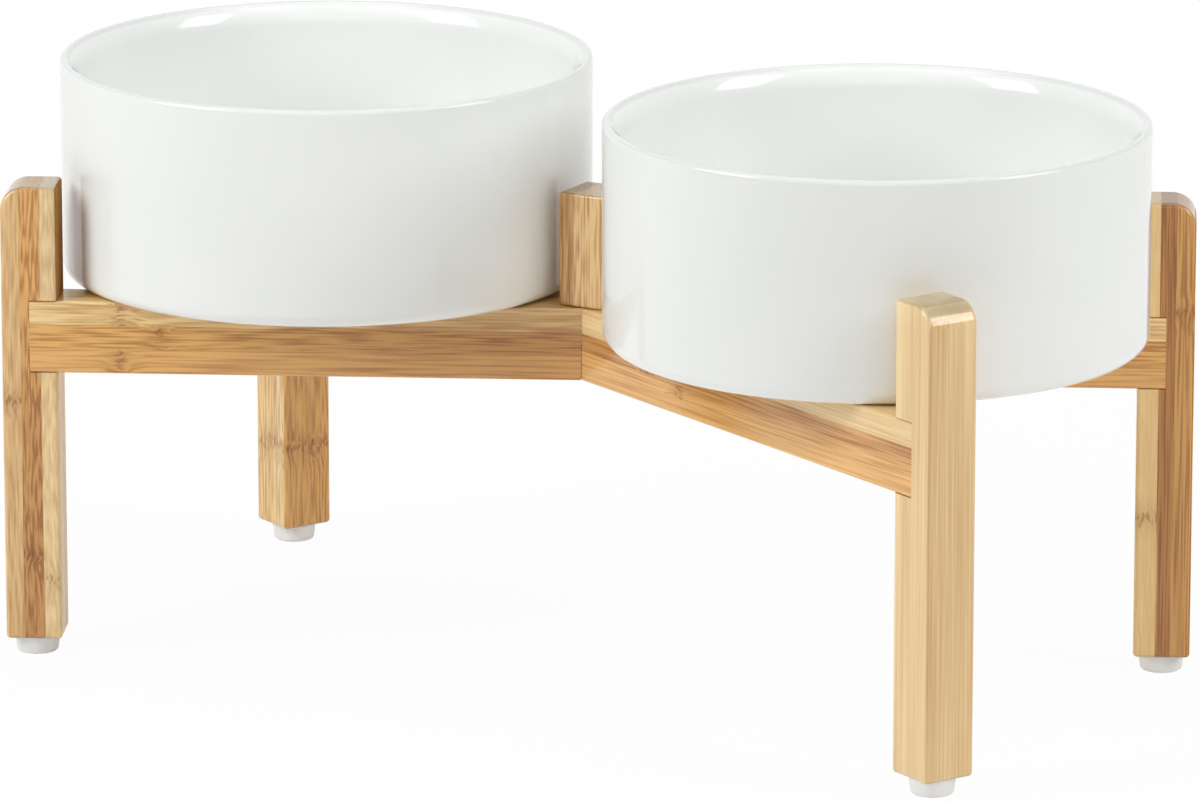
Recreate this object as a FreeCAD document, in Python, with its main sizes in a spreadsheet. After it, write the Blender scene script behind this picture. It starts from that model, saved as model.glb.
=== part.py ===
import FreeCAD, Part
import math
import os
import Sketcher

# Elevated double pet bowl: two glazed bowls on a stand of crossed bamboo rails and four square legs.
# Millimetres. The origin is on the floor under the crossing, +X runs from the left bowl to the right bowl,
# +Y runs from the front legs to the back legs and +Z is up.

# Driving dimensions, each a cell of the sheet
SIZES = {
    # bowls
    "bowl_diameter": 190.0,
    "bowl_height": 78.0,
    "bowl_wall": 6.0,
    "bowl_floor": 8.0,
    "bowl_corner_radius": 5.0,
    "bowl_inside_radius": 24.0,
    "rim_outer_radius": 2.5,
    "rim_flat_width": 1.0,
    "rim_edge_radius": 1.0,
    "rim_lip_height": 6.5,
    "foot_ring_width": 8.0,
    "foot_ring_height": 2.0,
    # room left between a bowl and what keeps it in place
    "post_clearance": 3.6,
    "block_clearance": 6.0,
    # bamboo stand
    "stock_width": 20.0,
    "rail_height": 26.0,
    "rail_clear_height": 98.0,
    "post_height": 41.0,
    "post_top_radius": 8.5,
    "leg_edge_radius": 1.5,
    "edge_ease": 1.0,
    "crossing_half_angle": 26.0,
    "joint_clearance": 0.2,
    # dowels between rails and legs
    "dowel_diameter": 8.0,
    "dowel_rail_depth": 23.0,
    "dowel_chamfer": 1.0,
    "dowel_skin": 2.5,
    # screws
    "screw_diameter": 3.5,
    "screw_head_diameter": 7.0,
    "screw_head_height": 2.2,
    "screw_tip_length": 4.0,
    "centre_screw_sink": 4.0,
    "centre_screw_bite": 22.0,
    "foot_screw_bite": 14.0,
    # bumper feet
    "foot_height": 6.5,
    "foot_top_diameter": 16.2,
    "foot_bottom_diameter": 15.0,
    "foot_edge_radius": 1.4,
    "foot_seat_thickness": 2.4,
    # fits and cuts
    "hole_clearance": 0.1,
    "hole_end_gap": 0.5,
    "cut_overrun": 2.0,
}

# Sizes worked out from the driving dimensions, in the order in which they build on each other
WORKED = {
    "bowl_radius": "Sizes.bowl_diameter / 2",
    "bowl_inner_radius": "Worked.bowl_radius - Sizes.bowl_wall",
    "corner_centre": "Worked.bowl_radius - Sizes.bowl_corner_radius",
    "recess_radius": "Worked.corner_centre - Sizes.foot_ring_width",
    "inside_centre": "Worked.bowl_inner_radius - Sizes.bowl_inside_radius",
    "inside_level": "Sizes.bowl_floor + Sizes.bowl_inside_radius",
    "rim_outer_centre": "Worked.bowl_radius - Sizes.rim_outer_radius",
    "rim_outer_level": "Sizes.bowl_height - Sizes.rim_outer_radius",
    "rim_edge_centre": "Worked.rim_outer_centre - Sizes.rim_flat_width",
    "rim_edge_level": "Sizes.bowl_height - Sizes.rim_edge_radius",
    # the lip inside the rim is an arc that touches the upright wall and the small round of the edge
    "lip_level": "Sizes.bowl_height - Sizes.rim_lip_height",
    "lip_run": "Worked.rim_edge_centre - Worked.bowl_inner_radius",
    "lip_rise": "Sizes.rim_lip_height - Sizes.rim_edge_radius",
    "lip_chord_square": "Worked.lip_run ^ 2 + Worked.lip_rise ^ 2 - Sizes.rim_edge_radius ^ 2",
    "lip_radius": "Worked.lip_chord_square / (2 * (Worked.lip_run - Sizes.rim_edge_radius))",
    "lip_centre": "Worked.bowl_inner_radius + Worked.lip_radius",
    "lip_reach_share": "Worked.lip_radius / (Worked.lip_radius - Sizes.rim_edge_radius)",
    "lip_lean": "Worked.lip_centre - Worked.rim_edge_centre",
    "lip_top_radius": "Worked.lip_centre - Worked.lip_lean * Worked.lip_reach_share",
    "lip_top_level": "Worked.lip_level + Worked.lip_rise * Worked.lip_reach_share",
    "half_stock": "Sizes.stock_width / 2",
    "bowl_centre": "Worked.half_stock + Sizes.block_clearance + Worked.bowl_radius",
    "leg_bottom": "Sizes.foot_height",
    "rail_bottom": "Worked.leg_bottom + Sizes.rail_clear_height",
    "rail_middle": "Worked.rail_bottom + Sizes.rail_height / 2",
    "rail_top": "Worked.rail_bottom + Sizes.rail_height",
    "leg_top": "Worked.rail_top + Sizes.post_height",
    "rail_top_ease": "Worked.rail_top - Sizes.edge_ease",
    "rail_bottom_ease": "Worked.rail_bottom + Sizes.edge_ease",
    "rail_side_ease": "Worked.half_stock - Sizes.edge_ease",
    # the inner corner of a post stands clear of the bowl's wall
    "bowl_along": "Worked.bowl_centre * cos(Sizes.crossing_half_angle)",
    "bowl_across": "Worked.bowl_centre * sin(Sizes.crossing_half_angle) - Worked.half_stock",
    "post_gap": "Worked.bowl_radius + Sizes.post_clearance",
    "leg_inner": "Worked.bowl_along + sqrt(Worked.post_gap ^ 2 - Worked.bowl_across ^ 2)",
    "leg_outer": "Worked.leg_inner + Sizes.stock_width",
    "leg_middle": "Worked.leg_inner + Worked.half_stock",
    "post_top_side": "Worked.leg_outer - Sizes.post_top_radius",
    "post_top_level": "Worked.leg_top - Sizes.post_top_radius",
    # half of the leg is notched for the rail
    "rail_end": "Worked.leg_middle",
    "rail_length": "2 * Worked.rail_end",
    "notch_mouth": "Worked.leg_inner - Sizes.cut_overrun",
    "notch_top": "Worked.rail_top + Sizes.joint_clearance",
    # the slot that takes the crossing rail, a slanted strip in plan
    "slot_reach": "Worked.half_stock + Sizes.cut_overrun",
    "slot_half": "(Worked.half_stock + Sizes.joint_clearance) / sin(2 * Sizes.crossing_half_angle)",
    "slot_skew": "Worked.slot_reach / tan(2 * Sizes.crossing_half_angle)",
    "slot_far": "Worked.slot_half + Worked.slot_skew",
    "slot_near": "Worked.slot_half - Worked.slot_skew",
    "slot_depth": "Sizes.rail_height / 2",
    # dowels
    "dowel_radius": "Sizes.dowel_diameter / 2",
    "dowel_hole_radius": "Worked.dowel_radius + Sizes.hole_clearance",
    "dowel_leg_hole": "Worked.half_stock - Sizes.dowel_skin",
    "dowel_rail_hole": "Sizes.dowel_rail_depth + Sizes.hole_end_gap",
    "dowel_start": "Worked.rail_end - Sizes.dowel_rail_depth",
    "dowel_end": "Worked.rail_end + Worked.dowel_leg_hole - Sizes.hole_end_gap",
    "dowel_start_ease": "Worked.dowel_start + Sizes.dowel_chamfer",
    "dowel_end_ease": "Worked.dowel_end - Sizes.dowel_chamfer",
    "dowel_tip_radius": "Worked.dowel_radius - Sizes.dowel_chamfer",
    # screws
    "screw_radius": "Sizes.screw_diameter / 2",
    "screw_hole_radius": "Worked.screw_radius + Sizes.hole_clearance",
    "screw_head_radius": "Sizes.screw_head_diameter / 2",
    "screw_sink_radius": "Worked.screw_head_radius + Sizes.hole_clearance",
    "centre_screw_offset": "Worked.half_stock / 2",
    "centre_screw_along": "Worked.centre_screw_offset * cos(Sizes.crossing_half_angle)",
    "centre_screw_across": "Worked.centre_screw_offset * sin(Sizes.crossing_half_angle)",
    "centre_screw_seat": "Worked.rail_bottom + Sizes.centre_screw_sink",
    "centre_screw_head": "Worked.centre_screw_seat - Sizes.screw_head_height",
    "centre_screw_tip": "Worked.rail_top + Sizes.centre_screw_bite",
    "centre_screw_taper": "Worked.centre_screw_tip - Sizes.screw_tip_length",
    "centre_screw_hole": "Sizes.centre_screw_bite + Sizes.hole_end_gap",
    "foot_screw_seat": "Sizes.foot_height - Sizes.foot_seat_thickness",
    "foot_screw_head": "Worked.foot_screw_seat - Sizes.screw_head_height",
    "foot_screw_tip": "Worked.leg_bottom + Sizes.foot_screw_bite",
    "foot_screw_taper": "Worked.foot_screw_tip - Sizes.screw_tip_length",
    "foot_screw_hole": "Sizes.foot_screw_bite + Sizes.hole_end_gap",
    # bumper feet
    "foot_top_radius": "Sizes.foot_top_diameter / 2",
    "foot_bottom_radius": "Sizes.foot_bottom_diameter / 2",
    "foot_flat_radius": "Worked.foot_bottom_radius - Sizes.foot_edge_radius",
}

# Each corner of the stand, with the direction of its rail arm as seen from above
HALF_TURN = "180"
CORNERS = {
    "back_right": "Sizes.crossing_half_angle",
    "back_left": f"{HALF_TURN} - Sizes.crossing_half_angle",
    "front_left": f"{HALF_TURN} + Sizes.crossing_half_angle",
    "front_right": "-Sizes.crossing_half_angle",
}

doc = FreeCAD.newDocument("ElevatedDoubleBowl")


def make_sheet(label, cells, prefix=""):
    """A sheet with one named cell per size."""
    sheet = doc.addObject("Spreadsheet::Sheet", label)
    for row, (name, content) in enumerate(cells.items(), start=1):
        sheet.set(f"A{row}", name)
        sheet.set(f"B{row}", f"{prefix}{content}")
        sheet.setAlias(f"B{row}", name)
    return sheet


sizes = make_sheet("Sizes", SIZES)
worked = make_sheet("Worked", WORKED, "=")
doc.recompute()


def cell(name):
    """The expression that reads a named size."""
    return f"Sizes.{name}" if name in SIZES else f"Worked.{name}"


def signed(name):
    """The value of a named size; a minus sign in front turns it round, and an empty name is the origin."""
    if not name:
        return 0.0
    size = name.lstrip("-")
    value = float(sizes.get(size) if size in SIZES else worked.get(size))
    return -value if name.startswith("-") else value


def new_body(label, turn=None):
    """An empty body, turned about the upright axis through the crossing."""
    body = doc.addObject("PartDesign::Body", label)
    body.Label = label
    if turn:
        body.Placement = FreeCAD.Placement(FreeCAD.Vector(), FreeCAD.Rotation(FreeCAD.Vector(0, 0, 1), 1))
        body.setExpression("Placement.Rotation.Angle", turn)
    return body


def plane_of(body, role):
    """One of the body's own origin planes."""
    return next(plane for plane in body.Origin.OriginFeatures if plane.Role == role)


def new_sketch(body, role, lift=None, shift=None, rise=None):
    """A sketch on an origin plane, moved off it by lift, and within it by shift and rise."""
    sketch = body.newObject("Sketcher::SketchObject", f"{body.Label}_sketch")
    sketch.AttachmentSupport = (plane_of(body, role), [""])
    sketch.MapMode = "FlatFace"
    for axis, name in (("x", shift), ("y", rise), ("z", lift)):
        if name:
            sign = "-" if name.startswith("-") else ""
            sketch.setExpression(f"AttachmentOffset.Base.{axis}", sign + cell(name.lstrip("-")))
    return sketch


def pin_coordinate(sketch, kind, item, point, name):
    """Hold one coordinate of a sketch point at a named size, measured from the sketch's origin."""
    if not name:
        axis = -2 if kind == "DistanceX" else -1
        sketch.addConstraint(Sketcher.Constraint("PointOnObject", item, point, axis))
        return
    size = abs(signed(name))
    if name.startswith("-"):
        index = sketch.addConstraint(Sketcher.Constraint(kind, item, point, -1, 1, size))
    else:
        index = sketch.addConstraint(Sketcher.Constraint(kind, -1, 1, item, point, size))
    label = f"{kind}_{item}_{point}"
    sketch.renameConstraint(index, label)
    sketch.setExpression(f"Constraints.{label}", cell(name.lstrip("-")))


def draw_outline(sketch, corners, arcs=None):
    """A closed outline through the corners. arcs gives each rounded side's centre and whether it turns left."""
    arcs = arcs or {}
    upright = FreeCAD.Vector(0, 0, 1)
    points = [FreeCAD.Vector(signed(x), signed(y), 0) for x, y in corners]
    starts = []
    ends = []
    for item, (start, end) in enumerate(zip(points, points[1:] + points[:1])):
        if item not in arcs:
            sketch.addGeometry(Part.LineSegment(start, end))
            starts.append(1)
            ends.append(2)
            continue
        centre_x, centre_y, turns_left = arcs[item]
        centre = FreeCAD.Vector(signed(centre_x), signed(centre_y), 0)
        first, last = (start, end) if turns_left else (end, start)
        angles = [math.atan2(point.y - centre.y, point.x - centre.x) for point in (first, last)]
        circle = Part.Circle(centre, upright, centre.distanceToPoint(start))
        sketch.addGeometry(Part.ArcOfCircle(circle, *angles))
        starts.append(1 if turns_left else 2)
        ends.append(2 if turns_left else 1)
    count = len(points)
    for item in range(count):
        following = (item + 1) % count
        sketch.addConstraint(Sketcher.Constraint("Coincident", item, ends[item], following, starts[following]))
    for item, (x, y) in enumerate(corners):
        pin_coordinate(sketch, "DistanceX", item, starts[item], x)
        pin_coordinate(sketch, "DistanceY", item, starts[item], y)
    for item, (_, centre_y, _) in arcs.items():
        pin_coordinate(sketch, "DistanceY", item, 3, centre_y)


def draw_circles(sketch, centres, radius):
    """Circles of one named radius."""
    upright = FreeCAD.Vector(0, 0, 1)
    for item, (x, y) in enumerate(centres):
        sketch.addGeometry(Part.Circle(FreeCAD.Vector(signed(x), signed(y), 0), upright, signed(radius)))
        index = sketch.addConstraint(Sketcher.Constraint("Radius", item, signed(radius)))
        sketch.renameConstraint(index, f"Radius_{item}")
        sketch.setExpression(f"Constraints.Radius_{item}", cell(radius))
        pin_coordinate(sketch, "DistanceX", item, 3, x)
        pin_coordinate(sketch, "DistanceY", item, 3, y)


def pad(body, sketch, length, symmetric=False):
    """Solid of the sketch's outline, of a named length."""
    feature = body.newObject("PartDesign::Pad", f"{body.Label}_pad")
    feature.Profile = sketch
    feature.SideType = "Symmetric" if symmetric else "One side"
    feature.setExpression("Length", cell(length))
    doc.recompute()
    return feature


def pocket(body, sketch, depth=None, reverse=False):
    """Cut of a named depth, or right through both ways without one; it has to take something away."""
    before = body.Shape.Volume
    feature = body.newObject("PartDesign::Pocket", f"{body.Label}_pocket")
    feature.Profile = sketch
    if depth:
        feature.Type = "Length"
        feature.setExpression("Length", cell(depth))
        feature.Reversed = reverse
    else:
        feature.Type = "ThroughAll"
        feature.SideType = "Symmetric"
    doc.recompute()
    if not body.Shape.Volume < before:
        raise RuntimeError(f"{feature.Label} cuts nothing")
    return feature


def revolve(body, sketch, axis="V_Axis"):
    """Solid turned from half of its section."""
    feature = body.newObject("PartDesign::Revolution", f"{body.Label}_revolution")
    feature.Profile = sketch
    feature.ReferenceAxis = (sketch, [axis])
    doc.recompute()
    return feature


def mirror(body, originals, role="YZ_Plane"):
    """The same features again on the far side of an origin plane."""
    feature = body.newObject("PartDesign::Mirrored", f"{body.Label}_mirrored")
    feature.Originals = originals
    feature.MirrorPlane = (plane_of(body, role), [""])
    body.Tip = feature
    doc.recompute()
    return feature


def ease_all_edges(body, feature, radius):
    """Small rounding of every sharp edge, as sanded bamboo has."""
    fillet = body.newObject("PartDesign::Fillet", f"{body.Label}_ease")
    fillet.Base = (feature, [""])
    fillet.UseAllEdges = True
    fillet.setExpression("Radius", cell(radius))
    doc.recompute()
    return fillet


def make_bowl(label, sign):
    """Bowl with upright walls, a rounded rim with a lip inside, a rounded lower corner and a foot ring."""
    body = new_body(label)
    body.setExpression("Placement.Base.x", sign + cell("bowl_centre"))
    body.setExpression("Placement.Base.z", cell("rail_top"))
    section = new_sketch(body, "XZ_Plane")
    corners = [
        ("", "foot_ring_height"),
        ("recess_radius", "foot_ring_height"),
        ("recess_radius", ""),
        ("corner_centre", ""),
        ("bowl_radius", "bowl_corner_radius"),
        ("bowl_radius", "rim_outer_level"),
        ("rim_outer_centre", "bowl_height"),
        ("rim_edge_centre", "bowl_height"),
        ("lip_top_radius", "lip_top_level"),
        ("bowl_inner_radius", "lip_level"),
        ("bowl_inner_radius", "inside_level"),
        ("inside_centre", "bowl_floor"),
        ("", "bowl_floor"),
    ]
    arcs = {
        3: ("corner_centre", "bowl_corner_radius", True),
        5: ("rim_outer_centre", "rim_outer_level", True),
        7: ("rim_edge_centre", "rim_edge_level", True),
        8: ("lip_centre", "lip_level", True),
        10: ("inside_centre", "inside_level", False),
    }
    draw_outline(section, corners, arcs)
    revolve(body, section)
    return body


def make_rail(label, turn, slot_on_top, hand):
    """Rail with eased edges, a slot for the crossing rail, screw holes there and a dowel hole in each end."""
    body = new_body(label, turn)
    section = new_sketch(body, "YZ_Plane")
    corners = [
        ("-rail_side_ease", "rail_bottom"),
        ("rail_side_ease", "rail_bottom"),
        ("half_stock", "rail_bottom_ease"),
        ("half_stock", "rail_top_ease"),
        ("rail_side_ease", "rail_top"),
        ("-rail_side_ease", "rail_top"),
        ("-half_stock", "rail_top_ease"),
        ("-half_stock", "rail_bottom_ease"),
    ]
    arcs = {
        1: ("rail_side_ease", "rail_bottom_ease", True),
        3: ("rail_side_ease", "rail_top_ease", True),
        5: ("-rail_side_ease", "rail_top_ease", True),
        7: ("-rail_side_ease", "rail_bottom_ease", True),
    }
    draw_outline(section, corners, arcs)
    pad(body, section, "rail_length", symmetric=True)

    other = "-" if hand == "" else ""
    slot = new_sketch(body, "XY_Plane", lift="rail_top" if slot_on_top else "rail_bottom")
    slot_corners = [
        (f"{other}slot_near", "slot_reach"),
        (f"{hand}slot_far", "slot_reach"),
        (f"{hand}slot_near", "-slot_reach"),
        (f"{other}slot_far", "-slot_reach"),
    ]
    draw_outline(slot, slot_corners)
    pocket(body, slot, "slot_depth", reverse=not slot_on_top)

    holes = new_sketch(body, "XY_Plane")
    centres = [
        ("centre_screw_along", f"{hand}centre_screw_across"),
        ("-centre_screw_along", f"{other}centre_screw_across"),
    ]
    draw_circles(holes, centres, "screw_hole_radius")
    pocket(body, holes)
    if slot_on_top:
        sinks = new_sketch(body, "XY_Plane", lift="rail_bottom")
        draw_circles(sinks, centres, "screw_sink_radius")
        pocket(body, sinks, "centre_screw_sink", reverse=True)

    end_hole = new_sketch(body, "YZ_Plane", lift="rail_end")
    draw_circles(end_hole, [("", "rail_middle")], "dowel_hole_radius")
    mirror(body, [pocket(body, end_hole, "dowel_rail_hole")])
    return body


def make_leg(label, turn):
    """Square leg with a rounded outer top corner, a notch for the rail, and dowel and foot screw holes."""
    body = new_body(label, turn)
    side = new_sketch(body, "XZ_Plane")
    corners = [
        ("leg_inner", "leg_bottom"),
        ("leg_outer", "leg_bottom"),
        ("leg_outer", "post_top_level"),
        ("post_top_side", "leg_top"),
        ("leg_inner", "leg_top"),
    ]
    draw_outline(side, corners, {2: ("post_top_side", "post_top_level", True)})
    ease_all_edges(body, pad(body, side, "stock_width", symmetric=True), "leg_edge_radius")

    notch = new_sketch(body, "XZ_Plane")
    notch_corners = [
        ("notch_mouth", "rail_bottom"),
        ("rail_end", "rail_bottom"),
        ("rail_end", "notch_top"),
        ("notch_mouth", "notch_top"),
    ]
    draw_outline(notch, notch_corners)
    pocket(body, notch)

    dowel_hole = new_sketch(body, "YZ_Plane", lift="rail_end")
    draw_circles(dowel_hole, [("", "rail_middle")], "dowel_hole_radius")
    pocket(body, dowel_hole, "dowel_leg_hole", reverse=True)

    screw_hole = new_sketch(body, "XY_Plane", lift="leg_bottom")
    draw_circles(screw_hole, [("leg_middle", "")], "screw_hole_radius")
    pocket(body, screw_hole, "foot_screw_hole", reverse=True)
    return body


def make_dowel(label, turn):
    """Round dowel with chamfered ends, half in the rail and half in the leg."""
    body = new_body(label, turn)
    section = new_sketch(body, "XZ_Plane", rise="rail_middle")
    corners = [
        ("dowel_start", ""),
        ("dowel_end", ""),
        ("dowel_end", "dowel_tip_radius"),
        ("dowel_end_ease", "dowel_radius"),
        ("dowel_start_ease", "dowel_radius"),
        ("dowel_start", "dowel_tip_radius"),
    ]
    draw_outline(section, corners)
    revolve(body, section, "H_Axis")
    return body


def draw_screw(sketch, head, seat, taper, tip):
    """Half section of a screw that points up, from the flat of its head to its tip."""
    corners = [
        ("", head),
        ("screw_head_radius", head),
        ("screw_head_radius", seat),
        ("screw_radius", seat),
        ("screw_radius", taper),
        ("", tip),
    ]
    draw_outline(sketch, corners)


def make_centre_screws(label):
    """Pair of screws from under the crossing into the centre block."""
    body = new_body(label)
    body.AllowCompound = True
    section = new_sketch(body, "XZ_Plane", shift="centre_screw_offset")
    draw_screw(section, "centre_screw_head", "centre_screw_seat", "centre_screw_taper", "centre_screw_tip")
    mirror(body, [revolve(body, section)])
    return body


def make_foot_screw(label, turn):
    """Screw that holds a bumper foot under its leg."""
    body = new_body(label, turn)
    section = new_sketch(body, "XZ_Plane", shift="leg_middle")
    draw_screw(section, "foot_screw_head", "foot_screw_seat", "foot_screw_taper", "foot_screw_tip")
    revolve(body, section)
    return body


def make_foot(label, turn):
    """Tapered bumper foot with a rounded lower edge and a sunk hole for its screw."""
    body = new_body(label, turn)
    section = new_sketch(body, "XZ_Plane", shift="leg_middle")
    corners = [
        ("screw_sink_radius", ""),
        ("foot_flat_radius", ""),
        ("foot_bottom_radius", "foot_edge_radius"),
        ("foot_top_radius", "foot_height"),
        ("screw_hole_radius", "foot_height"),
        ("screw_hole_radius", "foot_screw_seat"),
        ("screw_sink_radius", "foot_screw_seat"),
    ]
    draw_outline(section, corners, {1: ("foot_flat_radius", "foot_edge_radius", True)})
    revolve(body, section)
    return body


def make_centre_block(label):
    """Block on the crossing, of the same square stock as the legs and level with their tops."""
    body = new_body(label)
    base = new_sketch(body, "XY_Plane", lift="rail_top")
    corners = [
        ("-half_stock", "-half_stock"),
        ("half_stock", "-half_stock"),
        ("half_stock", "half_stock"),
        ("-half_stock", "half_stock"),
    ]
    draw_outline(base, corners)
    ease_all_edges(body, pad(body, base, "post_height"), "edge_ease")
    holes = new_sketch(body, "XY_Plane", lift="rail_top")
    centres = [("centre_screw_offset", ""), ("-centre_screw_offset", "")]
    draw_circles(holes, centres, "screw_hole_radius")
    pocket(body, holes, "centre_screw_hole", reverse=True)
    return body


def check_document():
    """Stop where any object of the document failed to build."""
    for item in doc.Objects:
        if "Invalid" in item.State or "Error" in item.State:
            raise RuntimeError(f"{item.Label} did not build: {item.State}")


def write_parts(bodies):
    """One file per piece, named after it."""
    for body in bodies:
        if body.Shape.isNull() or not body.Shape.isValid():
            raise RuntimeError(f"{body.Label} has no valid shape")
    os.makedirs("parts", exist_ok=True)
    for body in bodies:
        body.Shape.exportStep(f"parts/{body.Label}.step")
        box = body.Shape.optimalBoundingBox()
        print(f"{body.Label}: {box.XLength:.2f} x {box.YLength:.2f} x {box.ZLength:.2f} mm")


pieces = [
    make_bowl("left_bowl", "-"),
    make_bowl("right_bowl", ""),
    make_rail("upper_cross_rail", CORNERS["back_right"], slot_on_top=False, hand="-"),
    make_rail("lower_cross_rail", CORNERS["front_right"], slot_on_top=True, hand=""),
    make_centre_block("centre_block"),
    make_centre_screws("centre_screws"),
]
for corner, direction in CORNERS.items():
    pieces.append(make_leg(f"{corner}_leg", direction))
    pieces.append(make_dowel(f"{corner}_dowel", direction))
    pieces.append(make_foot(f"{corner}_foot", direction))
    pieces.append(make_foot_screw(f"{corner}_foot_screw", direction))

doc.recompute()
check_document()
write_parts(pieces)
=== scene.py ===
"""Looks of an elevated double pet bowl: two glazed bowls on a crossed stand of laminated bamboo."""

import math
from dataclasses import dataclass

import bpy
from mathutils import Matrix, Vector


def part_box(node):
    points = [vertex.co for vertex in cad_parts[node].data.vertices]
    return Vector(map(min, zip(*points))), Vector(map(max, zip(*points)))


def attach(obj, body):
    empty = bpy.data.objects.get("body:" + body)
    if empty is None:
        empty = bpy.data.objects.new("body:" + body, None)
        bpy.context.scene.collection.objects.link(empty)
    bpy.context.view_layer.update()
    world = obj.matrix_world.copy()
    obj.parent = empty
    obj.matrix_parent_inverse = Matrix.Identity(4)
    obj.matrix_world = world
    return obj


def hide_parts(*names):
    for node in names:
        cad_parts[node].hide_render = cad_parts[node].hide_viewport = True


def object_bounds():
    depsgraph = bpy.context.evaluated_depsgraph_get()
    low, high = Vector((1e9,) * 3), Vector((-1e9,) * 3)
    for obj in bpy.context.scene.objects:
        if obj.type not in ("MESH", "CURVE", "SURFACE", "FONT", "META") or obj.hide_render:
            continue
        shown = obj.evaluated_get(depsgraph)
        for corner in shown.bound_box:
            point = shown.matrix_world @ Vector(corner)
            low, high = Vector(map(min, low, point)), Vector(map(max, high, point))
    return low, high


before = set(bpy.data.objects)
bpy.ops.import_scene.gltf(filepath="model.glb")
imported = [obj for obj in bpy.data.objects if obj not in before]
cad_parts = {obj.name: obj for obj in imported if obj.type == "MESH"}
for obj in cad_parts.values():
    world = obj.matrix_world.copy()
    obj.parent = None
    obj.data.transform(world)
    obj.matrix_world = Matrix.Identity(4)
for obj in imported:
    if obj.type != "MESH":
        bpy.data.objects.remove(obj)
cad_low, cad_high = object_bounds()
bowl_low, bowl_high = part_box("left_bowl")
bowl_radius = (bowl_high.x - bowl_low.x) / 2
bowl_height = bowl_high.z - bowl_low.z

# Lengths are in metres
MM = 0.001
WHITE = (1, 1, 1, 1)

# Camera: a long lens at the right front, a little above the rims
IMAGE_WIDTH_PX = 1200
FOCAL_LENGTH_PX = 9030.9
SENSOR_WIDTH_MM = 36.0
CAMERA_AZIMUTH = math.radians(29.534)
CAMERA_ELEVATION = math.radians(14.286)
CAMERA_DISTANCE = 3.1956
TARGET_SIDEWAYS = 0.94 * MM
TARGET_HEIGHT = 94.53 * MM

# Floor, which fades to white between two distances from the middle, and surrounding light
FLOOR_RADIUS = 9.0
FLOOR_SIDES = 96
FLOOR_GREY = (0.94, 0.94, 0.94, 1)
SHADOW_NEAR = 0.35
SHADOW_FAR = 1.1
FLOOR_WHITE_NEAR_SHARE = 0.95
AMBIENT_STRENGTH = 0.10

# Bowl section
BOWL_WALL = 6.0 * MM
BOWL_FLOOR = 8.0 * MM
BOWL_CORNER = 5.0 * MM
BOWL_INSIDE_CORNER = 24.0 * MM
RIM_OUTER_ROUND = 1.6 * MM
RIM_FLAT = 0.2 * MM
RIM_EDGE_ROUND = 1.4 * MM
LIP_HEIGHT = 8.0 * MM
FOOT_RING_WIDTH = 8.0 * MM
FOOT_RING_HEIGHT = 2.0 * MM
FOOT_RING_ROUND = 0.6 * MM
FACING_DOWN = -0.9
BOWL_SIDES = 192
ARC_STEPS = 10

# Spans of a noise's values that a tone or a roughness runs over
TONE_SPAN = (0.3, 0.7)
MIDDLE_SPAN = (0.25, 0.75)
WIDE_SPAN = (0.2, 0.8)


@dataclass
class Lamp:
    """A soft lamp: degrees round from the camera and degrees up, how far it stands from the object,
    its width, height and watts, and whether gloss shows it.
    """

    around: float
    up: float
    distance: float
    width: float
    height: float
    watts: float
    in_gloss: bool = True


# The lamp behind the object lights its far side and stays out of the highlights
LAMPS = {
    "left_softbox": Lamp(around=-66.0, up=32.0, distance=1.7, width=0.75, height=1.0, watts=14.5),
    "right_softbox": Lamp(around=66.0, up=32.0, distance=1.7, width=0.65, height=1.0, watts=11.6),
    "top_softbox": Lamp(around=0.0, up=89.0, distance=1.5, width=1.4, height=1.4, watts=11.1),
    "front_softbox": Lamp(around=0.0, up=10.0, distance=2.0, width=1.2, height=1.2, watts=3.1),
    "back_softbox": Lamp(
        around=180.0, up=30.0, distance=2.0, width=1.4, height=1.0, watts=7.0, in_gloss=False,
    ),
}


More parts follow.
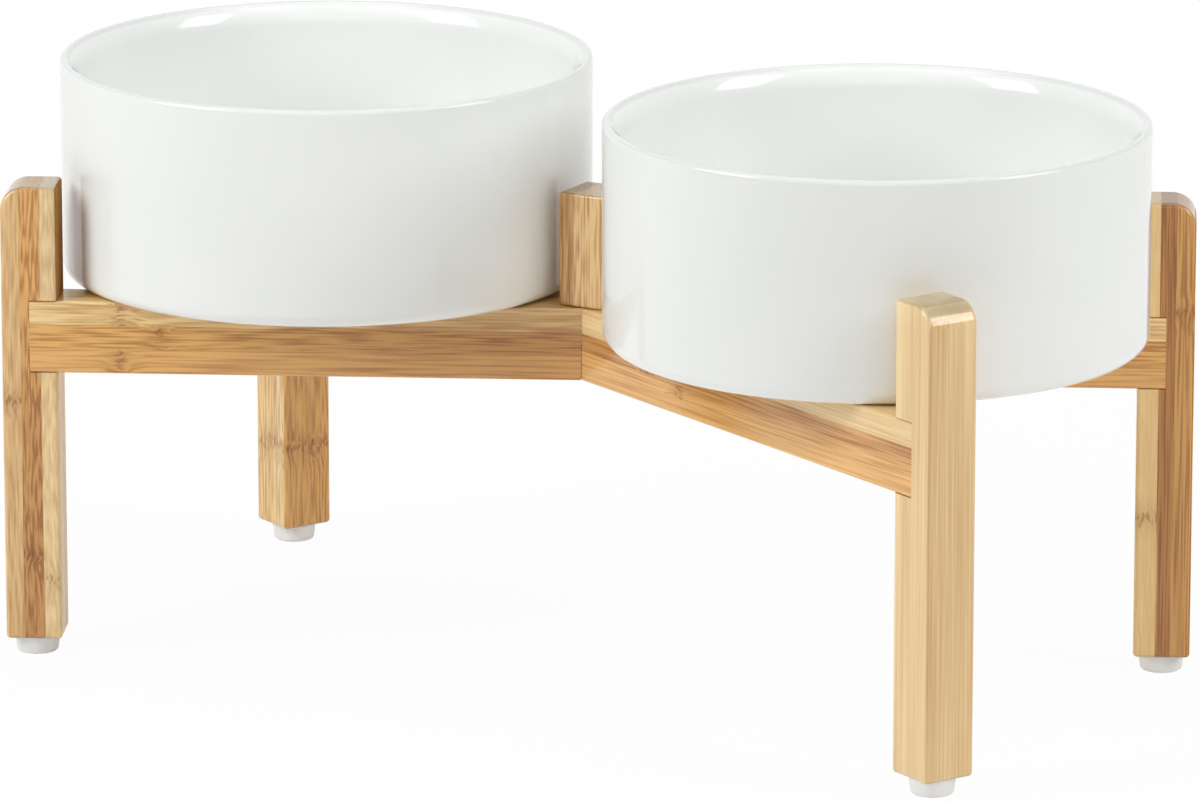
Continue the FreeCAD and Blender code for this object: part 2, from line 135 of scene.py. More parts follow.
class Graph:
    """A material's node tree. Each method adds nodes and returns the socket that holds their result."""

    def __init__(self, owner):
        owner.use_nodes = True
        self.tree = owner.node_tree
        self.tree.nodes.clear()

    def fill(self, socket, value):
        if isinstance(value, bpy.types.NodeSocket):
            self.tree.links.new(value, socket)
        else:
            socket.default_value = value

    def node(self, kind, inputs=None, **settings):
        made = self.tree.nodes.new(kind)
        for key, value in settings.items():
            setattr(made, key, value)
        for key, value in (inputs or {}).items():
            self.fill(made.inputs[key], value)
        return made

    def math(self, operation, *values):
        made = self.node("ShaderNodeMath", dict(enumerate(values)), operation=operation)
        return made.outputs[0]

    def times(self, first, second):
        return self.math("MULTIPLY", first, second)

    def minus(self, first, second):
        return self.math("SUBTRACT", first, second)

    def absolute(self, value):
        return self.math("ABSOLUTE", value)

    def total(self, first, *others):
        for other in others:
            first = self.math("ADD", first, other)
        return first

    def off_middle(self, noise):
        """How far a noise is above or below its middle."""
        return self.minus(noise, 0.5)

    def dot(self, vector, axis):
        made = self.node("ShaderNodeVectorMath", {0: vector, 1: tuple(axis)}, operation="DOT_PRODUCT")
        return made.outputs["Value"]

    def combine(self, x, y, z):
        return self.node("ShaderNodeCombineXYZ", {0: x, 1: y, 2: z}).outputs[0]

    def noise(self, vector, scale=1.0, detail=2.0, roughness=0.5):
        inputs = {"Vector": vector, "Scale": scale, "Detail": detail, "Roughness": roughness}
        return self.node("ShaderNodeTexNoise", inputs).outputs["Fac"]

    def share(self, value, low, high):
        """Where a value lies between two others, from zero to one."""
        inputs = {"Value": value, "From Min": low, "From Max": high}
        return self.node("ShaderNodeMapRange", inputs).outputs[0]

    def step(self, value, low, high, start=0.0, end=1.0):
        """A smooth change from one result to another while a value goes from low to high."""
        inputs = {"Value": value, "From Min": low, "From Max": high, "To Min": start, "To Max": end}
        return self.node("ShaderNodeMapRange", inputs, interpolation_type="SMOOTHSTEP").outputs[0]

    def ramp(self, factor, stops, interpolation="LINEAR"):
        made = self.node("ShaderNodeValToRGB", {"Fac": factor})
        made.color_ramp.interpolation = interpolation
        elements = made.color_ramp.elements
        while len(elements) < len(stops):
            elements.new(1.0)
        for element, (place, colour) in zip(elements, stops):
            element.position = place
            element.color = colour if isinstance(colour, tuple) else (colour, colour, colour, 1.0)
        return made.outputs["Color"]

    def two_tone(self, noise, dark, pale):
        return self.ramp(noise, list(zip(TONE_SPAN, (dark, pale))))

    def mix(self, factor, first, second, blend="MIX"):
        """Two colours blended. The node's sockets for colours are its inputs 6 and 7 and its output 2."""
        inputs = {0: factor, 6: first, 7: second}
        return self.node("ShaderNodeMix", inputs, data_type="RGBA", blend_type=blend).outputs[2]

    def bump(self, height, distance, strength):
        inputs = {"Height": height, "Distance": distance, "Strength": strength}
        return self.node("ShaderNodeBump", inputs).outputs[0]

    def blend_shaders(self, factor, first, second):
        inputs = {0: factor, 1: first.outputs[0], 2: second.outputs[0]}
        return self.node("ShaderNodeMixShader", inputs).outputs[0]

    def surface(self, shader, output="ShaderNodeOutputMaterial"):
        self.tree.links.new(shader, self.node(output).inputs["Surface"])

    def principled(self, inputs):
        self.surface(self.node("ShaderNodeBsdfPrincipled", inputs).outputs[0])

    def seen_directly(self):
        """One for rays from the camera, off gloss and through glass, and zero for all others."""
        path = self.node("ShaderNodeLightPath").outputs
        seen = self.math("MAXIMUM", path["Is Camera Ray"], path["Is Glossy Ray"])
        return self.math("MAXIMUM", seen, path["Is Transmission Ray"])


def new_material(name):
    material = bpy.data.materials.new(name)
    return material, Graph(material)


def add_object(name, data):
    made = bpy.data.objects.new(name, data)
    bpy.context.scene.collection.objects.link(made)
    return made


def srgb(red, green, blue):
    """Linear colour, with alpha, of an sRGB colour given from 0 to 255."""
    shares = [value / 255 for value in (red, green, blue)]
    linear = [s / 12.92 if s <= 0.04045 else ((s + 0.055) / 1.055) ** 2.4 for s in shares]
    return (*linear, 1.0)


# Stage


def direction(azimuth, elevation):
    """The way from the object to a place round it: azimuth 0 is the front, and the right is positive."""
    flat = math.cos(elevation)
    return Vector((math.sin(azimuth) * flat, -math.cos(azimuth) * flat, math.sin(elevation)))


def place_and_aim(item, target, away, distance):
    item.location = target + away * distance
    item.rotation_euler = (-away).to_track_quat("-Z", "Y").to_euler()


def add_camera():
    data = bpy.data.cameras.new("camera")
    data.sensor_fit = "HORIZONTAL"
    data.sensor_width = SENSOR_WIDTH_MM
    data.lens = FOCAL_LENGTH_PX / IMAGE_WIDTH_PX * SENSOR_WIDTH_MM
    camera = add_object("camera", data)
    right = Vector((math.cos(CAMERA_AZIMUTH), math.sin(CAMERA_AZIMUTH), 0))
    target = right * TARGET_SIDEWAYS + Vector((0, 0, TARGET_HEIGHT))
    place_and_aim(camera, target, direction(CAMERA_AZIMUTH, CAMERA_ELEVATION), CAMERA_DISTANCE)
    bpy.context.scene.camera = camera


def add_lamps():
    centre = (cad_low + cad_high) / 2
    for name, lamp in LAMPS.items():
        data = bpy.data.lights.new(name, "AREA")
        data.shape = "RECTANGLE"
        data.size = lamp.width
        data.size_y = lamp.height
        data.energy = lamp.watts
        softbox = add_object(name, data)
        away = direction(CAMERA_AZIMUTH + math.radians(lamp.around), math.radians(lamp.up))
        place_and_aim(softbox, centre, away, lamp.distance)
        softbox.visible_camera = False
        softbox.visible_glossy = lamp.in_gloss


def add_world():
    world = bpy.data.worlds.new("studio")
    bpy.context.scene.world = world
    graph = Graph(world)
    soft = graph.node("ShaderNodeBackground", {"Color": WHITE, "Strength": AMBIENT_STRENGTH})
    white = graph.node("ShaderNodeBackground", {"Color": WHITE, "Strength": 1.0})
    graph.surface(graph.blend_shaders(graph.seen_directly(), soft, white), "ShaderNodeOutputWorld")


def add_floor():
    """A pale floor that fades to the white of the background away from the object."""
    mesh = bpy.data.meshes.new("floor")
    turns = [2 * math.pi * i / FLOOR_SIDES for i in range(FLOOR_SIDES)]
    ring = [(FLOOR_RADIUS * math.cos(t), FLOOR_RADIUS * math.sin(t), 0) for t in turns]
    mesh.from_pydata(ring, [], [range(FLOOR_SIDES)])
    floor = add_object("floor", mesh)
    material, graph = new_material("pale_floor")
    place = graph.node("ShaderNodeTexCoord").outputs["Object"]
    distance = graph.node("ShaderNodeVectorMath", {0: place}, operation="LENGTH").outputs["Value"]
    white_share = graph.step(distance, SHADOW_NEAR, SHADOW_FAR, FLOOR_WHITE_NEAR_SHARE, 1.0)
    share = graph.times(white_share, graph.seen_directly())
    paint = graph.node("ShaderNodeBsdfDiffuse", {"Color": FLOOR_GREY})
    white = graph.node("ShaderNodeEmission", {"Color": WHITE, "Strength": 1.0})
    graph.surface(graph.blend_shaders(share, paint, white))
    mesh.materials.append(material)


# Glaze: noises in cycles per metre, colours, gloss

GLAZE_CLOUDS = 18.0
GLAZE_SPECKS = 900.0
GLAZE_RIPPLES = 42.0
GLAZE_RIPPLE_HEIGHT = 0.10 * MM
GLAZE_RIPPLE_STRENGTH = 0.2
GLAZE_SHADED = (0.868, 0.892, 0.868, 1)
GLAZE_BRIGHT = (0.900, 0.916, 0.894, 1)
GLAZE_SPECK = (0.60, 0.57, 0.53, 1)
GLAZE_SPECK_SPAN = (0.74, 0.80)
GLAZE_SPECK_STRENGTH = 0.10
# Painted shade on the up-facing top of the rim, and the span of upward facing that it covers
GLAZE_RIM_PAINTED_SHADE = (0.74, 0.762, 0.74, 1)
GLAZE_RIM_SHADE_FACING_SPAN = (0.3, 0.9)
GLAZE_ROUGHNESS = (0.07, 0.10)
GLAZE_IOR = 1.48


def glaze():
    """White gloss glaze: faint clouds, a slow ripple in the gloss, and painted shade on the up-facing top
    of the rim.
    """
    material, graph = new_material("white_glaze")
    coordinates = graph.node("ShaderNodeTexCoord").outputs
    place = coordinates["Object"]
    cloud = graph.noise(place, GLAZE_CLOUDS, detail=3.0)
    speck = graph.noise(place, GLAZE_SPECKS, detail=1.0)
    dust = graph.step(speck, *GLAZE_SPECK_SPAN, 0.0, GLAZE_SPECK_STRENGTH)
    body = graph.mix(dust, graph.two_tone(cloud, GLAZE_SHADED, GLAZE_BRIGHT), GLAZE_SPECK)
    height = graph.dot(place, (0, 0, 1))
    # Painted shade: the top of the rim is darkened where it faces up
    near_top = graph.step(height, bowl_height - RIM_OUTER_ROUND, bowl_height - RIM_OUTER_ROUND / 2)
    facing_up = graph.step(graph.dot(coordinates["Normal"], (0, 0, 1)), *GLAZE_RIM_SHADE_FACING_SPAN)
    colour = graph.mix(graph.times(near_top, facing_up), body, GLAZE_RIM_PAINTED_SHADE)
    roughness = graph.step(cloud, *MIDDLE_SPAN, *GLAZE_ROUGHNESS)
    ripple = graph.noise(place, GLAZE_RIPPLES, detail=1.0)
    normal = graph.bump(ripple, GLAZE_RIPPLE_HEIGHT, GLAZE_RIPPLE_STRENGTH)
    graph.principled({"Base Color": colour, "Roughness": roughness, "IOR": GLAZE_IOR, "Normal": normal})
    return material


# Bare clay

CLAY_GRIT = 1600.0
CLAY_GRIT_HEIGHT = 0.1 * MM
CLAY_GRIT_STRENGTH = 0.4
CLAY_DARK = (0.60, 0.57, 0.52, 1)
CLAY_PALE = (0.74, 0.71, 0.66, 1)
CLAY_ROUGHNESS = 0.85


def bisque():
    """Bare fired clay on the foot ring, with fine grit."""
    material, graph = new_material("bare_foot_ring")
    place = graph.node("ShaderNodeTexCoord").outputs["Object"]
    grit = graph.noise(place, CLAY_GRIT)
    colour = graph.two_tone(grit, CLAY_DARK, CLAY_PALE)
    normal = graph.bump(grit, CLAY_GRIT_HEIGHT, CLAY_GRIT_STRENGTH)
    graph.principled({"Base Color": colour, "Roughness": CLAY_ROUGHNESS, "Normal": normal})
    return material


# Rubber

RUBBER_BLOOM = 140.0
RUBBER_GRAIN = 2600.0
RUBBER_GRAIN_HEIGHT = 0.04 * MM
RUBBER_GRAIN_STRENGTH = 0.35
RUBBER_SHADED = (0.95, 0.96, 0.95, 1)
RUBBER_BRIGHT = (0.97, 0.98, 0.97, 1)
RUBBER_ROUGHNESS = (0.42, 0.56)
RUBBER_GLOW = 0.2
RUBBER_GLOW_DEPTH = 1.5 * MM


def rubber():
    """Soft white moulded rubber that lets a little light through."""
    material, graph = new_material("white_rubber")
    place = graph.node("ShaderNodeTexCoord").outputs["Object"]
    bloom = graph.noise(place, RUBBER_BLOOM, detail=3.0)
    grain = graph.noise(place, RUBBER_GRAIN)
    graph.principled({
        "Base Color": graph.two_tone(bloom, RUBBER_SHADED, RUBBER_BRIGHT),
        "Roughness": graph.step(bloom, *WIDE_SPAN, *RUBBER_ROUGHNESS),
        "Normal": graph.bump(grain, RUBBER_GRAIN_HEIGHT, RUBBER_GRAIN_STRENGTH),
        "Subsurface Weight": RUBBER_GLOW,
        "Subsurface Radius": (1.0, 1.0, 1.0),
        "Subsurface Scale": RUBBER_GLOW_DEPTH,
    })
    return material


# Turned hardwood

DOWEL_RINGS = 700.0
DOWEL_RING_HEIGHT = 0.05 * MM
DOWEL_RING_STRENGTH = 0.4
DOWEL_DARK = srgb(201, 165, 116)
DOWEL_PALE = srgb(223, 192, 146)
DOWEL_ROUGHNESS = 0.62


def dowel_wood():
    """Plain turned hardwood."""
    material, graph = new_material("dowel_wood")
    place = graph.node("ShaderNodeTexCoord").outputs["Object"]
    rings = graph.noise(place, DOWEL_RINGS, detail=3.0)
    colour = graph.two_tone(rings, DOWEL_DARK, DOWEL_PALE)
    normal = graph.bump(rings, DOWEL_RING_HEIGHT, DOWEL_RING_STRENGTH)
    graph.principled({"Base Color": colour, "Roughness": DOWEL_ROUGHNESS, "Normal": normal})
    return material


# Plated steel

ZINC_PLATING = 420.0
ZINC_DARK = (0.58, 0.59, 0.60, 1)
ZINC_PALE = (0.70, 0.70, 0.69, 1)
ZINC_ROUGHNESS = (0.26, 0.42)


def zinc():
    """Zinc plated steel with a slightly uneven plating."""
    material, graph = new_material("zinc_plated_steel")
    place = graph.node("ShaderNodeTexCoord").outputs["Object"]
    plating = graph.noise(place, ZINC_PLATING, detail=3.0)
    colour = graph.two_tone(plating, ZINC_DARK, ZINC_PALE)
    roughness = graph.step(plating, *MIDDLE_SPAN, *ZINC_ROUGHNESS)
    graph.principled({"Base Color": colour, "Metallic": 1.0, "Roughness": roughness})
    return material


# Bamboo tones, from the palest strip to the darkest

PALE = srgb(252, 223, 167)
HONEY = srgb(252, 217, 150)
CREAM = srgb(247, 215, 158)
LIGHT = srgb(236, 197, 137)
PEACH = srgb(246, 194, 121)
TAN = srgb(239, 184, 106)
GOLD = srgb(236, 182, 98)
RUSSET = srgb(224, 169, 102)
AMBER = srgb(216, 161, 83)
BROWN = srgb(205, 158, 92)
DARK = srgb(188, 128, 57)

# What darkens a tone: dark fibres, node scars, painted shade and a darker stretch along some strips, and
# end grain
FIBRE_TINT = (0.62, 0.46, 0.32, 1.0)
SCAR_TINT = (0.52, 0.34, 0.20, 1.0)
DARKENING_TINT = (0.46, 0.31, 0.21, 1.0)
END_TINT = (0.58, 0.62, 0.66, 1.0)


@dataclass
class Layer:
    """One layer of detail: cycles per metre along the longest fibres and across them, and its strength."""

    along: float
    across: float
    strength: float = 1.0


# Fibres
BROAD = Layer(along=4.0, across=95.0, strength=0.9)
STREAK = Layer(along=8.0, across=380.0, strength=0.6)
GRAIN = Layer(along=8.0, across=430.0, strength=0.28)
FINE = Layer(along=14.0, across=1250.0, strength=4.0)
DASH = Layer(along=22.0, across=900.0, strength=0.30)
DASH_SPAN = (0.60, 0.72)
GRAIN_HALF_SPAN = 0.03
FIBRE_SHARE = 0.30
END_GRAIN_SPAN = (0.3, 0.85)
END_FIBRE_LOSS_SHARE = 0.6
SEED_RANGE = 71.0
MOST_BANDS = 2.0

# How fibres wander, and swirl round a node scar
WANDER = Layer(along=60.0, across=150.0)
WAVE_SIZE = 0.25 * MM
SWIRL_SIZE = 7.0 * MM
SWIRL_REACH = 11.0 * MM

# Node scars; one at NO_SCAR lies beyond the end of its piece
SCAR_EDGE = Layer(along=30.0, across=900.0, strength=9.0 * MM)
SCAR_HALF_WIDTH = 4.2 * MM
SCAR_STRENGTH = 0.85
PITS = Layer(along=330.0, across=1100.0)
PIT_SPAN = (0.42, 0.56)
STAIN_REACH = 11.0 * MM
STAIN_STRENGTH = 0.22
NO_SCAR = 2.0

# Seams and glue lines
SEAM_RAGGED_SHARE = 0.12
GLUE_HALF_SHARE = 0.012
GLUE_STRENGTH = 0.7
GLUE_BREAKS = Layer(along=60.0, across=30.0)
GLUE_BREAK_SPAN = (0.36, 0.62)
GLUE_FAINTEST = 0.15

# Lacquer over the grooves of the fibres
GROOVE_SHARE = 0.5
GROOVE_DEPTH = 0.06 * MM
GROOVE_STRENGTH = 0.4
WOOD_ROUGHNESS = (0.4, 0.55)
LACQUER_ROUGHNESS = 0.1
LACQUER_IOR = 1.6


@dataclass
class Strip:
    """One strip of a laminated piece: where it starts, as a share of the stack, its tone, how strongly its
    fibres show, how long they run, as a share of the longest, where its node scar is, as a share of the
    length, how strongly the glue line at its start and its broad bands show, and how dark and how dull it
    is along the length, in pairs of place and strength. The darkening is painted shade, except on the
    front-left leg's middle strip, where it is a darker tone low on the leg.
    """

    start: float
    tone: tuple
    fibres: float = 1.0
    run: float = 0.3
    scar: float = NO_SCAR
    glue: float = 1.0
    bands: float = 1.0
    darkening: tuple = ()
    dull: tuple = ()


class Fibres:
    """Noise that follows a piece's fibres."""

    def __init__(self, graph, length, stack, side, seed):
        self.graph = graph
        self.length = length
        self.stack = stack
        self.side = side
        self.seed = seed

    def noise(self, layer, detail=2.0, roughness=0.55):
        graph = self.graph
        vector = graph.combine(
            graph.total(graph.times(self.length, layer.along), self.seed),
            graph.times(self.stack, layer.across),
            graph.total(graph.times(self.side, layer.across), self.seed),
        )
        return graph.noise(vector, detail=detail, roughness=roughness)

    def bent(self, sideways):
        """The same fibres, moved sideways by a varying amount."""
        graph = self.graph
        stack = graph.total(self.stack, sideways)
        side = graph.total(self.side, sideways)
        return Fibres(graph, self.length, stack, side, self.seed)


def span(node, axis):
    """Lowest and highest place of a CAD node along an axis."""
    places = [vertex.co.dot(axis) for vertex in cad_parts[node].data.vertices]
    return min(places), max(places)


def bamboo(node, along, across, strips):
    """Lacquered bamboo for one piece: fibres run along one axis, and strips are stacked across another."""
    material, graph = new_material(f"bamboo_{node}")
    coordinates = graph.node("ShaderNodeTexCoord").outputs
    low, high = span(node, along)
    first, last = span(node, across)
    length_place = graph.dot(coordinates["Object"], along)
    stack_place = graph.dot(coordinates["Object"], across)
    side_place = graph.dot(coordinates["Object"], along.cross(across))
    length_share = graph.share(length_place, low, high)
    stack_share = graph.share(stack_place, first, last)

    def by_strip(values, share=stack_share):
        """The value, from zero to one, or the tone of the strip that a place lies in."""
        stops = [(strip.start, value) for strip, value in zip(strips, values)]
        return graph.ramp(share, stops, "CONSTANT")

    seed = graph.times(by_strip([(index + 0.5) / len(strips) for index in range(len(strips))]), SEED_RANGE)
    scar_share = graph.times(by_strip([strip.scar / NO_SCAR for strip in strips]), NO_SCAR)
    scar_offset = graph.times(graph.minus(length_share, scar_share), high - low)
    scar_distance = graph.absolute(scar_offset)

    # Fibres wave a little everywhere, and swirl round a node scar
    run = by_strip([strip.run for strip in strips])
    even = Fibres(graph, length_place, stack_place, side_place, seed)
    drawn = Fibres(graph, graph.math("DIVIDE", length_place, run), stack_place, side_place, seed)
    wander = graph.off_middle(even.noise(WANDER, detail=1.0))
    wave = graph.times(graph.minus(1.0, run), WAVE_SIZE)
    swirl = graph.step(scar_distance, 0.0, SWIRL_REACH, SWIRL_SIZE, 0.0)
    sideways = graph.times(wander, graph.total(wave, swirl))
    even = even.bent(sideways)
    drawn = drawn.bent(sideways)

    # Dark fibres, weaker on end grain, and broad bands
    broad = even.noise(BROAD, detail=1.0)
    streak = even.noise(STREAK, detail=3.0, roughness=0.62)
    grain = graph.absolute(graph.off_middle(even.noise(GRAIN)))
    fine = drawn.noise(FINE, detail=0.0)
    marks = graph.total(
        graph.times(graph.off_middle(streak), STREAK.strength),
        graph.times(graph.off_middle(fine), FINE.strength),
        graph.step(grain, 0.0, GRAIN_HALF_SPAN, GRAIN.strength, 0.0),
        graph.step(drawn.noise(DASH, detail=1.0), *DASH_SPAN, 0.0, DASH.strength),
    )
    end_grain = graph.step(graph.absolute(graph.dot(coordinates["Normal"], along)), *END_GRAIN_SPAN)
    shown = graph.minus(1.0, graph.times(end_grain, END_FIBRE_LOSS_SHARE))
    shown = graph.times(shown, by_strip([strip.fibres for strip in strips]))
    bands = graph.times(by_strip([strip.bands / MOST_BANDS for strip in strips]), MOST_BANDS)
    cloud = graph.times(graph.times(graph.off_middle(broad), BROAD.strength), bands)
    darkness = graph.total(graph.times(marks, shown), cloud, FIBRE_SHARE)

    # Seams between strips are a little ragged, and their glue lines show here and there
    ragged_seam = graph.times(graph.off_middle(streak), SEAM_RAGGED_SHARE)
    tone = by_strip([strip.tone for strip in strips], graph.total(stack_share, ragged_seam))
    glue_stops = [(0.0, 0.0)]
    for strip in strips[1:]:
        glue_stops += [
            (strip.start - GLUE_HALF_SHARE, 0.0),
            (strip.start, strip.glue),
            (strip.start + GLUE_HALF_SHARE, 0.0),
        ]
    broken = graph.step(even.noise(GLUE_BREAKS), *GLUE_BREAK_SPAN, GLUE_FAINTEST, 1.0)
    glue = graph.times(graph.ramp(stack_share, glue_stops), broken)
    darkness = graph.total(darkness, graph.times(glue, GLUE_STRENGTH))

    # Node scars: a ragged band with dark pits, and a softer stain on both sides
    ragged = graph.times(graph.off_middle(even.noise(SCAR_EDGE)), SCAR_EDGE.strength)
    from_band = graph.absolute(graph.total(scar_offset, ragged))
    band = graph.step(from_band, 0.0, SCAR_HALF_WIDTH, SCAR_STRENGTH, 0.0)
    stain = graph.step(scar_distance, 0.0, STAIN_REACH, STAIN_STRENGTH, 0.0)
    pits = graph.step(even.noise(PITS), *PIT_SPAN)
    scar = graph.math("MAXIMUM", graph.times(band, pits), stain)

    # Fibres, scars and end grain darken the tone
    colour = graph.mix(darkness, tone, FIBRE_TINT, "MULTIPLY")
    colour = graph.mix(scar, colour, SCAR_TINT, "MULTIPLY")
    colour = graph.mix(end_grain, colour, END_TINT, "MULTIPLY")

    # Each strip's own darkening and lacquer along the length; the darkening is painted shade on every
    # strip but the front-left leg's middle one
    lacquer = 1.0
    for strip in strips:
        here = by_strip([float(other is strip) for other in strips])
        if strip.darkening:
            depth = graph.times(graph.ramp(length_share, strip.darkening), here)
            colour = graph.mix(depth, colour, DARKENING_TINT, "MULTIPLY")
        if strip.dull:
            unlacquered = graph.times(graph.ramp(length_share, strip.dull), here)
            lacquer = graph.minus(lacquer, unlacquered)
    groove = graph.minus(graph.times(fine, -GROOVE_SHARE), glue)
    graph.principled({
        "Base Color": colour,
        "Roughness": graph.step(fine, *WIDE_SPAN, *WOOD_ROUGHNESS),
        "Specular IOR Level": 0.0,
        "Normal": graph.bump(groove, GROOVE_DEPTH, GROOVE_STRENGTH),
        "Coat Weight": lacquer,
        "Coat Roughness": LACQUER_ROUGHNESS,
        "Coat IOR": LACQUER_IOR,
    })
    return material


# Bowls


def arc(centre, radius, start, end):
    """Points of an arc in the half section, between two angles in degrees; 0 is outwards and 90 is up."""
    turns = [math.radians(start + (end - start) * i / ARC_STEPS) for i in range(ARC_STEPS + 1)]
    return [(centre[0] + radius * math.cos(t), centre[1] + radius * math.sin(t)) for t in turns]


def bowl_section():
    """Half section of a bowl, from the middle of its underside round to the middle of its floor.
    Inside the rim a lip leans out from the upright wall to the flat top, with a small round on its edge.
    """
    ring_inner = bowl_radius - BOWL_CORNER - FOOT_RING_WIDTH
    ring_outer = bowl_radius - BOWL_CORNER
    inner_radius = bowl_radius - BOWL_WALL
    outer_centre = (bowl_radius - RIM_OUTER_ROUND, bowl_height - RIM_OUTER_ROUND)
    edge_centre = (outer_centre[0] - RIM_FLAT, bowl_height - RIM_EDGE_ROUND)
    lip_run = edge_centre[0] - inner_radius
    lip_rise = LIP_HEIGHT - RIM_EDGE_ROUND
    lip_radius = (lip_run**2 + lip_rise**2 - RIM_EDGE_ROUND**2) / (2 * (lip_run - RIM_EDGE_ROUND))
    lip_centre = (inner_radius + lip_radius, bowl_height - LIP_HEIGHT)
    lip_end = 180.0 - math.degrees(math.asin(lip_rise / (lip_radius - RIM_EDGE_ROUND)))
    inside_centre = (inner_radius - BOWL_INSIDE_CORNER, BOWL_FLOOR + BOWL_INSIDE_CORNER)
    points = [(0.0, FOOT_RING_HEIGHT), (ring_inner / 2, FOOT_RING_HEIGHT)]
    points += [(ring_inner, FOOT_RING_HEIGHT)]
    points += arc((ring_inner + FOOT_RING_ROUND, FOOT_RING_ROUND), FOOT_RING_ROUND, 180.0, 270.0)
    points += arc((ring_outer, BOWL_CORNER), BOWL_CORNER, 270.0, 360.0)
    points += [(bowl_radius, bowl_height / 2)]
    points += arc(outer_centre, RIM_OUTER_ROUND, 0.0, 90.0)
    points += arc(edge_centre, RIM_EDGE_ROUND, 90.0, lip_end)
    points += arc(lip_centre, lip_radius, lip_end, 180.0)[1:]
    points += [(inner_radius, bowl_height / 2)]
    points += arc(inside_centre, BOWL_INSIDE_CORNER, 0.0, -90.0)
    points += [(inside_centre[0] / 2, BOWL_FLOOR), (0.0, BOWL_FLOOR)]
    return points


def lathe(name, section, sides):
    """Closed mesh of a half section turned about the upright axis; its first and last points lie on it."""
    vertices = [(0, 0, section[0][1])]
    for radius, height in section[1:-1]:
        for i in range(sides):
            turn = 2 * math.pi * i / sides
            vertices.append((radius * math.cos(turn), radius * math.sin(turn), height))
    vertices.append((0, 0, section[-1][1]))
    last = len(vertices) - 1
    rings = len(section) - 2
    faces = []
    for i in range(sides):
        j = (i + 1) % sides
        faces.append((0, 1 + j, 1 + i))
        for ring in range(rings - 1):
            low = 1 + ring * sides
            high = low + sides
            faces.append((low + i, low + j, high + j, high + i))
        top = 1 + (rings - 1) * sides
        faces.append((top + i, top + j, last))
    mesh = bpy.data.meshes.new(name)
    mesh.from_pydata(vertices, [], faces)
    mesh.shade_smooth()
    return mesh


def add_bowls(glazed, bare):
    section = bowl_section()
    for side in ("left", "right"):
        node = f"{side}_bowl"
        low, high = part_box(node)
        mesh = lathe(f"{node}_glazed", section, BOWL_SIDES)
        mesh.materials.append(glazed)
        mesh.materials.append(bare)
        for face in mesh.polygons:
            if face.center.z < FOOT_RING_ROUND / 2 and face.normal.z < FACING_DOWN:
                face.material_index = 1
        bowl = add_object(f"{node}_glazed", mesh)
        bowl.location = ((low.x + high.x) / 2, (low.y + high.y) / 2, low.z)
        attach(bowl, node)
        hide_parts(node)


# Stand: each wooden piece has its own strips, tones and scars

# Painted shade along the length: on the front right post above the rail, on the upper rail under the
# bowls, and on the lower rail near the crossing under the bowl
POST_PAINTED_SHADE = ((0.6, 0.0), (0.7, 0.11), (0.95, 0.11), (0.99, 0.0))
TOP_PAINTED_SHADE = ((0.14, 0.0), (0.3, 0.28), (0.46, 0.5), (0.56, 0.5), (0.8, 0.18), (0.95, 0.0))
MIDDLE_PAINTED_SHADE = ((0.14, 0.0), (0.3, 0.4), (0.46, 0.65), (0.56, 0.65), (0.8, 0.24), (0.95, 0.0))
BOTTOM_PAINTED_SHADE = ((0.14, 0.0), (0.3, 0.2), (0.46, 0.36), (0.56, 0.36), (0.8, 0.12), (0.95, 0.0))
CROSSING_PAINTED_SHADE = ((0.62, 0.13), (0.8, 0.0))

# A leg's strips are stacked from its outer face inwards, and a rail's from its top down
LEG_STRIPS = {
    "front_left": [
        Strip(0.0, LIGHT, fibres=0.36, run=0.16, scar=0.535, bands=0.5),
        # Darker tone low on the leg
        Strip(0.335, TAN, run=0.12, scar=0.19, glue=0.3, darkening=((0.5, 0.5), (0.75, 0.15))),
        # Painted shade on the post above the rail
        Strip(0.69, PALE, fibres=0.28, run=0.1, scar=0.13, bands=0.3, darkening=((0.55, 0.0), (0.7, 0.12))),
        # Painted shadow on the inner face above the rail, where its lacquer is taken off; below the rail
        # half of it is taken off
        Strip(
            0.97, PALE, fibres=0.28, run=0.1, glue=0.0,
            darkening=((0.6, 0.0), (0.68, 1.0)), dull=((0.6, 0.5), (0.68, 1.0)),
        ),
    ],
    "front_right": [
        Strip(0.0, CREAM, fibres=0.22, run=0.9, bands=1.6),
        Strip(0.05, PALE, fibres=0.16, run=0.9, glue=0.0, darkening=POST_PAINTED_SHADE),
        Strip(0.28, CREAM, fibres=0.16, run=0.9, glue=0.3, darkening=POST_PAINTED_SHADE),
        Strip(0.55, PALE, fibres=0.16, run=0.9, glue=0.0, bands=1.5, darkening=POST_PAINTED_SHADE),
    ],
    "back_left": [
        Strip(0.0, HONEY, fibres=0.52, run=0.22, scar=0.19, bands=0.8),
        Strip(0.42, HONEY, fibres=0.52, run=0.22, scar=0.20, bands=0.8),
        Strip(0.70, PALE, fibres=0.5, run=0.22, scar=0.187, bands=0.8),
        Strip(0.94, GOLD, fibres=0.65, run=0.2, scar=0.187, glue=0.0),
    ],
    "back_right": [
        Strip(0.0, AMBER, run=0.7, scar=0.765, bands=0.3, dull=((0.0, 0.85), (1.0, 0.85))),
        Strip(0.025, AMBER, run=0.7, scar=0.765, glue=0.0, bands=0.3),
        Strip(0.34, DARK, run=0.5, bands=0.5),
        Strip(0.615, HONEY, fibres=0.1, run=0.15, scar=0.31, bands=0.4),
    ],
}
UPPER_RAIL_STRIPS = [
    Strip(0.0, HONEY, fibres=0.45, run=0.25, scar=0.08, darkening=TOP_PAINTED_SHADE),
    Strip(0.33, GOLD, fibres=0.9, run=0.25, scar=0.115, darkening=MIDDLE_PAINTED_SHADE),
    Strip(0.66, TAN, fibres=0.5, run=0.4, scar=0.08, glue=0.6, darkening=BOTTOM_PAINTED_SHADE),
]
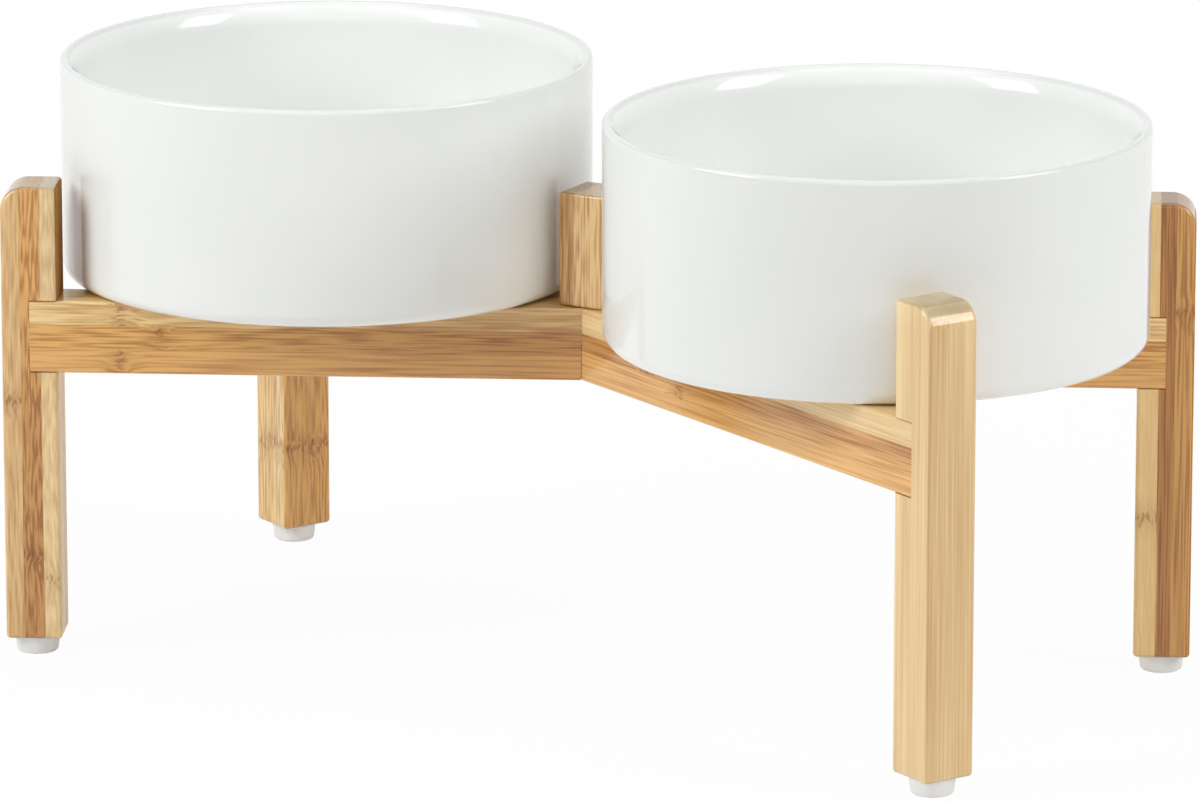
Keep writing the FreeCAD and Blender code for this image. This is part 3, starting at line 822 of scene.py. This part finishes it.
LOWER_RAIL_STRIPS = [
    Strip(0.0, PALE, fibres=0.25, run=0.6),
    # Painted shade near the crossing under the bowl
    Strip(0.34, RUSSET, fibres=0.7, run=0.4, scar=0.61, darkening=((0.62, 0.26), (0.8, 0.0))),
    Strip(0.58, PEACH, fibres=0.4, run=0.4, scar=0.66, glue=0.0, darkening=CROSSING_PAINTED_SHADE),
    Strip(0.78, PEACH, fibres=0.35, run=0.5, scar=0.30, glue=0.0, darkening=CROSSING_PAINTED_SHADE),
]
BLOCK_STRIPS = [
    Strip(0.0, BROWN, fibres=0.75, run=0.2, bands=0.8),
    Strip(0.3, LIGHT, fibres=0.75, run=0.2, glue=0.5, bands=0.8),
    Strip(0.62, LIGHT, fibres=0.75, run=0.2, bands=0.8),
]


def dress(node, material):
    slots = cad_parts[node].data.materials
    slots.clear()
    slots.append(material)


def dress_stand():
    up = Vector((0, 0, 1))
    to_the_right = Vector((1, 0, 0))
    low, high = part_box("front_right_leg")
    middle = (low + high) / 2
    half_angle = math.atan2(-middle.y, middle.x)
    turns = {
        "front_left": math.pi + half_angle,
        "front_right": -half_angle,
        "back_left": math.pi - half_angle,
        "back_right": half_angle,
    }
    outward = {corner: Vector((math.cos(turn), math.sin(turn), 0)) for corner, turn in turns.items()}
    for corner, strips in LEG_STRIPS.items():
        dress(f"{corner}_leg", bamboo(f"{corner}_leg", up, -outward[corner], strips))
    dress("upper_cross_rail", bamboo("upper_cross_rail", outward["back_right"], -up, UPPER_RAIL_STRIPS))
    dress("lower_cross_rail", bamboo("lower_cross_rail", outward["front_right"], -up, LOWER_RAIL_STRIPS))
    dress("centre_block", bamboo("centre_block", up, to_the_right, BLOCK_STRIPS))


def dress_fittings():
    soft = rubber()
    turned = dowel_wood()
    plated = zinc()
    for corner in LEG_STRIPS:
        dress(f"{corner}_foot", soft)
        dress(f"{corner}_dowel", turned)
        dress(f"{corner}_foot_screw", plated)
    dress("centre_screws", plated)


bpy.context.scene.view_settings.view_transform = "Standard"
add_camera()
add_lamps()
add_world()
add_floor()
add_bowls(glaze(), bisque())
dress_stand()
dress_fittings()
